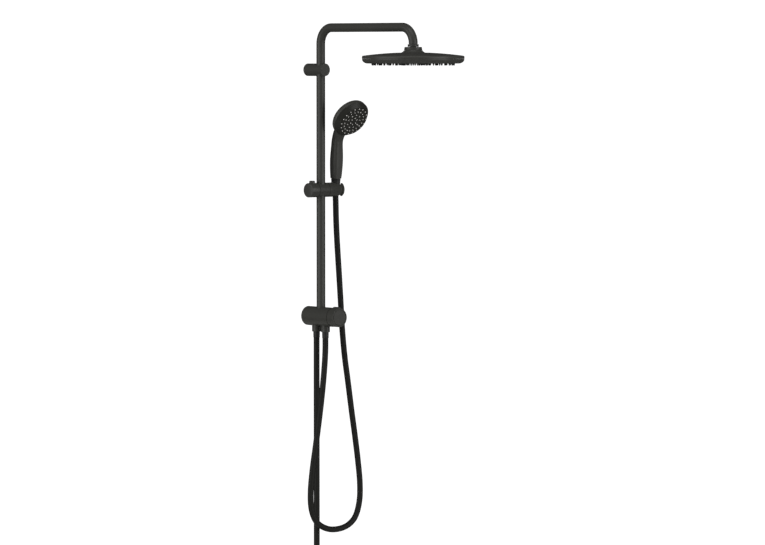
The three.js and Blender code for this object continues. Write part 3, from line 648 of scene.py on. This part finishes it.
def nozzle(base, tip, height, bore):
    """One nozzle about Z, standing down from its base, with a small outlet in its end."""
    return turned([(0, 1), (base, 1), (base * 0.85, -0.6), (tip, 0.4 - height), (tip * 0.8, -height),
                   (bore, -height), (0, 1 - height)], NOZZLE_SIDES)


def scattered(mesh, rings, first):
    """One mesh with a copy of a nozzle at every place of the rings, given as radius and count."""
    data = bpy.data.meshes.new("nozzle")
    mesh.to_mesh(data)
    mesh.free()
    all_of_them = bmesh.new()
    for radius, count in rings:
        for i in range(count):
            angle = math.radians(first + 360 * i / count)
            before = len(all_of_them.verts)
            all_of_them.from_mesh(data)
            all_of_them.verts.ensure_lookup_table()
            bmesh.ops.translate(all_of_them, verts=all_of_them.verts[before:],
                                vec=(radius * MM * math.cos(angle), radius * MM * math.sin(angle), 0))
    bpy.data.meshes.remove(data)
    return all_of_them


def with_body(mesh, other):
    """Adds a body's faces to a mesh; the other is used up."""
    data = bpy.data.meshes.new("other")
    other.to_mesh(data)
    other.free()
    mesh.from_mesh(data)
    bpy.data.meshes.remove(data)
    return mesh


class SHOWER_OT_rose(bpy.types.Operator):
    """Makes the overhead rose: ball nut, domed cover, rounded ring and nozzle face"""
    bl_idname = "shower.rose"
    bl_label = "Overhead rose"

    def execute(self, context):
        radius = context.scene.shower_sizes.rose_radius / MM
        place = at(BALL)
        nut = turned([*arc((0, 0), 12.35, 13.6, 35.1, 8), (16.2, 7.1), (16.6, 7.5), (17.2, 10.4), (17.6, 10.8),
                      (20.2, 10.8), (20.9, 10.5), (21.2, 9.6), (21.6, 7.6), *arc((31.7, 7), 10, 183, 204, 6),
                      (19.9, 2.9), (19.9, 6), (16.8, 6), (16.8, 2.9)])
        finish_piece("ball_nut", nut, place, edge_mm=0.2)

        roof = [(r, dome(r)) for r in range(36, 120, 6)]
        ceiling = [(r, dome(r) - 2.2) for r in (112, 90, 68, 46, 24)]
        cover = turned([*arc((0, 0), 14.95, -56, 10, 16), (17.1, 2.6), (17.1, 5.7), (19.6, 5.7), (19.6, 2.6),
                        *arc((31.7, 7), 10, 206, 268, 12), *roof, *arc((radius - 3.2, -13.6), 3.2, 76, 0, 8),
                        (radius, SEAM + 0.3), (radius - 0.3, SEAM), (radius - 2.4, SEAM), (radius - 2.4, -13.4),
                        *ceiling, *arc((0, 0), 17.2, -30, -61.5, 8)], FINE_STEPS)
        finish_piece("rose_cover", cover, place)

        top = SEAM - 0.3
        corner = [(radius - 14 + 14 * math.cos(a), top - (top - FACE_LEVEL) * math.sin(a))
                  for a in (math.radians(90 * i / 16) for i in range(17))]
        rim = turned([(radius - 0.35, top), *((r, z) for r, z in corner if z < top - 0.3), (109.3, FACE_LEVEL),
                      (109, FACE_LEVEL + 0.3), (109, FACE_LEVEL + 1.2), (radius - 14, FACE_LEVEL + 2.2),
                      (radius - 2.4, top)], FINE_STEPS)
        finish_piece("spray_ring", rim, place)

        face = turned([(0, FACE_LEVEL + 3.6), (110.4, FACE_LEVEL + 3.6), (110.4, FACE_LEVEL + 2.6),
                       (108.6, FACE_LEVEL + 1.6), (108.6, FACE_LEVEL + 0.2), (108.3, FACE_LEVEL), (0, FACE_LEVEL)],
                      FINE_STEPS)
        nozzles = scattered(nozzle(base=2.4, tip=1.4, height=4.8, bore=0.6), ROSE_RINGS, ROSE_FIRST)
        face = with_body(face, moved(nozzles, Matrix.Translation((0, 0, FACE_LEVEL * MM))))
        finish_piece("spray_face", face, place)
        return {"FINISHED"}


# ---------------------------------------------------------------- slider, button and holder

SLIDER_RADIUS, BUTTON_ACROSS, BUTTON_RADIUS = 18.0, -29.0, 7.3
SPRING_WIRE, SPRING_TURNS, SPRING_STEPS = 0.0006, 3, 24


class SHOWER_OT_slider(bpy.types.Operator):
    """Makes the slider's barrel, end, lock button and bush, and the hand shower's holder"""
    bl_idname = "shower.slider"
    bl_label = "Slider and holder"

    def execute(self, context):
        radius = SLIDER_RADIUS
        tube = context.scene.shower_sizes.tube_radius / MM
        place = at(PIVOT)
        barrel = moved(turned([(0, -15.7), (radius, -15.7), (radius, 16.2), (9, 16.2), (9, 24), (0, 24)]), ACROSS)
        barrel = combined(barrel, "DIFFERENCE", rod(13.4, -20, 20, BORE_STEPS))
        finish_piece("slider_body", barrel, place, edge_mm=0.3)
        bush = turned(ring(tube + 0.25, 13.1, -18, 18))
        shape = moved(turned(ring(0, radius - 0.5, -15, 15)), ACROSS)
        finish_piece("slider_bush", combined(bush, "INTERSECT", shape), place, edge_mm=0.2)
        end = moved(turned([(0, -42), (radius - 0.9, -42), (radius - 0.25, -41.75), (radius, -41.1),
                            (radius, -16.7), (0, -16.7)]), ACROSS)
        aside = Vector((BUTTON_ACROSS * MM, 0, 0))
        bore = moved(rod(BUTTON_RADIUS + 0.3, -4, 30, BORE_STEPS), at(aside))
        finish_piece("slider_end", combined(end, "DIFFERENCE", bore), place, edge_mm=0.3)
        button = turned([(0, 4.2), (BUTTON_RADIUS, 4.2), (BUTTON_RADIUS, 21.8), (BUTTON_RADIUS - 0.5, 22.3),
                         (BUTTON_RADIUS - 0.7, 23.4), (BUTTON_RADIUS - 1, 23.6), (5.2, 23.6), (4.4, 23.2),
                         (2.4, 22.9), (0, 22.8)], BORE_STEPS)
        finish_piece("lock_button", button, at(PIVOT + aside), edge_mm=0.2)

        spring = tube_along(self.coil(), SPRING_WIRE, "button_spring_fine", "stainless_steel")
        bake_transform(spring)
        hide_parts("button_spring")

        across = (SEAT.x - PIVOT.x) / MM
        right, lip = 63.0, radius + 0.5
        outside = moved(turned([(0, 17.2), (radius, 17.2), (radius, 50.5), (radius - 0.6, 51.9),
                                (radius - 2, 52.5), (radius - 2, 57.8), (radius - 1.2, 58.6), (lip, 58.6),
                                (lip, right), (0, right)]), ACROSS)
        seat = turned([(0, -22), (9.6, -22), (9.6, -6), (8.6, 2.6), (10.75, 2.7), (12.2, 22), (0, 22)], BORE_STEPS)
        seat = moved(seat, at(Vector((across * MM, 0, 0))))
        slot = block((across, -7.9, -22), (right + 2, 7.9, 22))
        recess = moved(rod(9.4, 15, 26.4), ACROSS)
        finish_piece("handset_holder", combined(outside, "DIFFERENCE", seat, slot, recess), at(PIVOT, LEANING),
                     edge_mm=0.6)
        return {"FINISHED"}

    @staticmethod
    def coil():
        """The centreline of the lock button's spring, in the box of its CAD piece."""
        low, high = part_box("button_spring")
        centre = (low + high) / 2
        reach = (high.x - low.x) / 2 - SPRING_WIRE
        rise = high.z - low.z - 2 * SPRING_WIRE
        count = SPRING_TURNS * SPRING_STEPS
        return [Vector((centre.x + reach * math.cos(math.tau * i / SPRING_STEPS),
                        centre.y + reach * math.sin(math.tau * i / SPRING_STEPS),
                        low.z + SPRING_WIRE + rise * i / count)) for i in range(count + 1)]


# ---------------------------------------------------------------- hand shower

FACE_DROP = math.radians(31)             # the face looks this far below the handle's square
HAND_RINGS = [(37.3, 18, 10), (28.4, 18, 10), (18.5, 9, 30), (9.3, 6, 30)]   # radius, count, first angle
# Height up the handle, shift out from its axis, tilt in degrees, half width and half depth.
HANDLE_STATIONS = [
    (20, 0, 0, 12.4, 13.8), (26, 0, 0, 12.8, 13.9), (29.5, 0, 0, 13.9, 14.2), (37, 0, 0, 14.9, 14.9),
    (51, 0, 0, 15.9, 15.9), (71, 0, 0, 16.8, 16.8), (91, 0, 0, 16.2, 16.2), (107, 0, 0, 15, 15),
    (118, 0, 0, 14.5, 14.5), (127, -1.2, 12, 14.5, 14.5), (138, -4.8, 26, 15.3, 14.8),
    (150, -12, 36, 17.5, 15), (162, -21.5, 40, 20, 14.5), (173, -31, 42, 21, 12),
]
HANDLE_SIDES = 32
CREASES = (21, 27)                       # the sides' numbers where the front flat begins and ends
HANDLE_FRONT = math.sin(math.tau * CREASES[0] / HANDLE_SIDES)        # the flat's place, in half depths
FACE_CENTRE = Vector((0, -60.6, 175.3)) * MM     # out from the handle's axis and up from the seat
SKIN_VOXEL = 1.1                         # size in millimetres of the shell's remeshing


def hand_frame():
    return at(SEAT, LEANING)


def behind_face():
    """Places a piece made about Z, with heights behind the face, in the hand shower's face."""
    facing = Matrix.Rotation(FACE_DROP - math.radians(90), 4, "X")
    return at(SEAT, LEANING, Matrix.Translation(FACE_CENTRE), facing)


def handle_mesh():
    """The handle as rings of points: round, but flat in front with a crease at each side of the flat."""
    mesh = bmesh.new()
    loops = []
    for height, shift, tilt, wide, deep in HANDLE_STATIONS:
        matrix = (Matrix.Translation((0, shift * MM, height * MM)) @ Matrix.Rotation(math.radians(tilt), 4, "X")
                  @ Matrix.Diagonal((wide * MM, deep * MM, 1, 1)))
        angles = (math.tau * i / HANDLE_SIDES for i in range(HANDLE_SIDES))
        loops.append([mesh.verts.new(matrix @ Vector((math.cos(a), max(math.sin(a), HANDLE_FRONT), 0)))
                      for a in angles])
    for below, above in zip(loops, loops[1:]):
        for i in range(HANDLE_SIDES):
            after = (i + 1) % HANDLE_SIDES
            mesh.faces.new((below[i], below[after], above[after], above[i]))
    mesh.faces.new(reversed(loops[0]))
    mesh.faces.new(loops[-1])
    crease = mesh.edges.layers.float.new("crease_edge")
    for below, above in zip(loops, loops[1:]):
        for i in CREASES:
            mesh.edges.get((below[i], above[i]))[crease] = 1.0
    return mesh


class SHOWER_OT_hand_shower(bpy.types.Operator):
    """Makes the hand shower: one flowing shell, a gloss bevel ring, its face and its nozzles"""
    bl_idname = "shower.hand_shower"
    bl_label = "Hand shower"

    def execute(self, context):
        radius = context.scene.shower_sizes.hand_rose_radius / MM
        handle = to_object(handle_mesh(), "handle")
        rounding = handle.modifiers.new("round", "SUBSURF")
        rounding.levels = rounding.render_levels = 2
        shell = moved(baked(handle), hand_frame())
        head = turned([(0, 11.3), (radius, 11.3), (radius, 18.5), *arc((radius - 8, 18.5), 8, 6, 72, 10),
                       (38, 27.2), (32, 28.6), (24, 29.9), (12, 30.8), (0, 31)], WIDE_STEPS)
        shell = to_object(with_body(shell, moved(head, behind_face())), "shell")
        voxels = shell.modifiers.new("one skin", "REMESH")
        voxels.mode = "VOXEL"
        voxels.voxel_size = SKIN_VOXEL * MM
        soften = shell.modifiers.new("flow", "SMOOTH")
        soften.factor, soften.iterations = 0.5, 6
        foot = moved(rod(20, 0, CONE_TOP + 0.4), hand_frame())
        finish_piece("handset_shell", combined(baked(shell), "DIFFERENCE", foot), UPRIGHT)

        place = behind_face()
        bevel = turned([(radius - 0.3, 11), (radius, 10.7), (radius - 0.1, 10.2), (radius - 0.5, 9.8), (41, 0.75),
                        (40.6, 0.4), (40.2, 0.3), (39.7, 0.3), (39.4, 0.6), (39.4, 4.8), (radius - 3.6, 11)],
                       FINE_STEPS)
        finish_piece("face_ring", bevel, place)
        plate = turned([(0, 0), (38.4, 0), (38.7, 0.3), (38.7, 2.6), (0, 2.6)], WIDE_STEPS)
        finish_piece("face_plate", plate, place)
        mat = rod(38.4, 2.9, 4.2, 96)
        for ring_radius, count, first in HAND_RINGS:
            studs = scattered(nozzle(base=1.45, tip=1.15, height=1.3, bore=0.4), [(ring_radius, count)], first)
            mat = with_body(mat, studs)
        finish_piece("handset_nozzle_mat", mat, place)
        return {"FINISHED"}


# ---------------------------------------------------------------- fixings and hidden pieces


class SHOWER_OT_fixings(bpy.types.Operator):
    """Gives the carried-over pieces, such as plates, screws, seals and the cartridge, their materials"""
    bl_idname = "shower.fixings"
    bl_label = "Fixings and inner pieces"

    def execute(self, context):
        for name, node in frame["nodes"].items():
            if node.hide_render:
                continue
            node.data.materials.clear()
            node.data.materials.append(MATERIALS[SLOT_OF_NODE[name]])
        return {"FINISHED"}


# ---------------------------------------------------------------- stage

FLOOR_GAP, FLOOR_RADIUS, FLOOR_OUT = 0.004, 1.35, 0.2
SEEN_STRENGTH, CAST_STRENGTH = 1.1, 0.04         # the surround as the camera sees it, and as it lights
LOOK_AT = Vector((0.0, -0.12, 0.15))
# Azimuth and elevation in degrees, distance, width and height in metres, and power in watts.
SOFT_BOXES = [
    ("left_box", -98, 6, 4.2, 4.3, 3.6, 136),
    ("right_box", 19, 6, 4.2, 2.9, 3.6, 112),
    ("top_box", -40, 62, 4.2, 4.0, 2.0, 70),
]


class SHOWER_OT_camera(bpy.types.Operator):
    """Sets up the camera in front of the column and to its left"""
    bl_idname = "shower.camera"
    bl_label = "Camera"

    def execute(self, context):
        view = context.scene.shower_camera
        data = bpy.data.cameras.new("camera")
        data.sensor_width = 36
        data.lens = view.lens
        data.clip_end = 100
        camera = bpy.data.objects.new("camera", data)
        context.scene.collection.objects.link(camera)
        camera.location = (COLUMN.x + view.distance * math.sin(view.azimuth),
                           COLUMN.y - view.distance * math.cos(view.azimuth), view.height)
        camera.rotation_euler = (math.radians(90) - view.pitch, 0, view.heading)
        context.scene.camera = camera
        return {"FINISHED"}


class SHOWER_OT_stage(bpy.types.Operator):
    """Adds a pale floor, a white surround and soft boxes"""
    bl_idname = "shower.stage"
    bl_label = "Studio"

    def execute(self, context):
        scene = context.scene
        scene.view_settings.view_transform = "Standard"
        mesh = bmesh.new()
        bmesh.ops.create_circle(mesh, cap_ends=True, segments=TURN_STEPS, radius=FLOOR_RADIUS)
        floor = to_object(moved(mesh, at(Vector((0, -FLOOR_OUT, CAD_BOX[0].z - FLOOR_GAP)))), "floor")
        floor.data.materials.append(surface(
            "painted_floor", scene.shower_colours.floor, darker=0.02, roughness=0.7, grain_mm=4.0, bump_mm=0.05,
            patch_mm=300))

        world = bpy.data.worlds.new("studio")
        world.use_nodes = True
        tree = world.node_tree
        tree.nodes.clear()
        seen = add(tree, "ShaderNodeBackground", {"Color": (1, 1, 1, 1), "Strength": SEEN_STRENGTH})
        cast = add(tree, "ShaderNodeBackground", {"Color": (1, 1, 1, 1), "Strength": CAST_STRENGTH})
        path = add(tree, "ShaderNodeLightPath")
        mix = add(tree, "ShaderNodeMixShader", {"Fac": path.outputs["Is Camera Ray"]})
        tree.links.new(cast.outputs["Background"], mix.inputs[1])
        tree.links.new(seen.outputs["Background"], mix.inputs[2])
        add(tree, "ShaderNodeOutputWorld", {"Surface": mix.outputs["Shader"]})
        scene.world = world

        for name, azimuth, elevation, distance, width, height, power in SOFT_BOXES:
            data = bpy.data.lights.new(name, "AREA")
            data.shape = "RECTANGLE"
            data.size, data.size_y = width, height
            data.energy = power
            lamp = bpy.data.objects.new(name, data)
            scene.collection.objects.link(lamp)
            turn, lift = math.radians(azimuth), math.radians(elevation)
            away = Vector((math.sin(turn) * math.cos(lift), -math.cos(turn) * math.cos(lift), math.sin(lift)))
            lamp.location = LOOK_AT + away * distance
            lamp.rotation_euler = away.to_track_quat("Z", "Y").to_euler()
        return {"FINISHED"}


# ---------------------------------------------------------------- add-on


class SHOWER_PT_panel(bpy.types.Panel):
    """Lists the column's build steps"""
    bl_idname = "SHOWER_PT_panel"
    bl_label = "Rain shower column"
    bl_space_type = "VIEW_3D"
    bl_region_type = "UI"
    bl_category = "Shower"

    def draw(self, context):
        for step in STEPS:
            self.layout.operator(step.bl_idname)


# The build order: the camera, then the hoses with their unions, then the rest, and the stage last.
STEPS = [SHOWER_OT_camera, SHOWER_OT_unions, SHOWER_OT_hoses, SHOWER_OT_diverter, SHOWER_OT_riser, SHOWER_OT_arm,
         SHOWER_OT_rose, SHOWER_OT_slider, SHOWER_OT_hand_shower, SHOWER_OT_fixings, SHOWER_OT_stage]
SETTINGS = {"shower_sizes": ShowerSizes, "shower_colours": ShowerColours, "shower_camera": ShowerCamera}


def register():
    for kind in (*SETTINGS.values(), *STEPS, SHOWER_PT_panel):
        bpy.utils.register_class(kind)
    for name, kind in SETTINGS.items():
        setattr(bpy.types.Scene, name, bpy.props.PointerProperty(type=kind))


def unregister():
    for name in SETTINGS:
        delattr(bpy.types.Scene, name)
    for kind in reversed((*SETTINGS.values(), *STEPS, SHOWER_PT_panel)):
        bpy.utils.unregister_class(kind)


def main():
    register()
    make_materials()
    for step in STEPS:
        space, name = step.bl_idname.split(".")
        getattr(getattr(bpy.ops, space), name)()


if __name__ == "__main__":
    main()
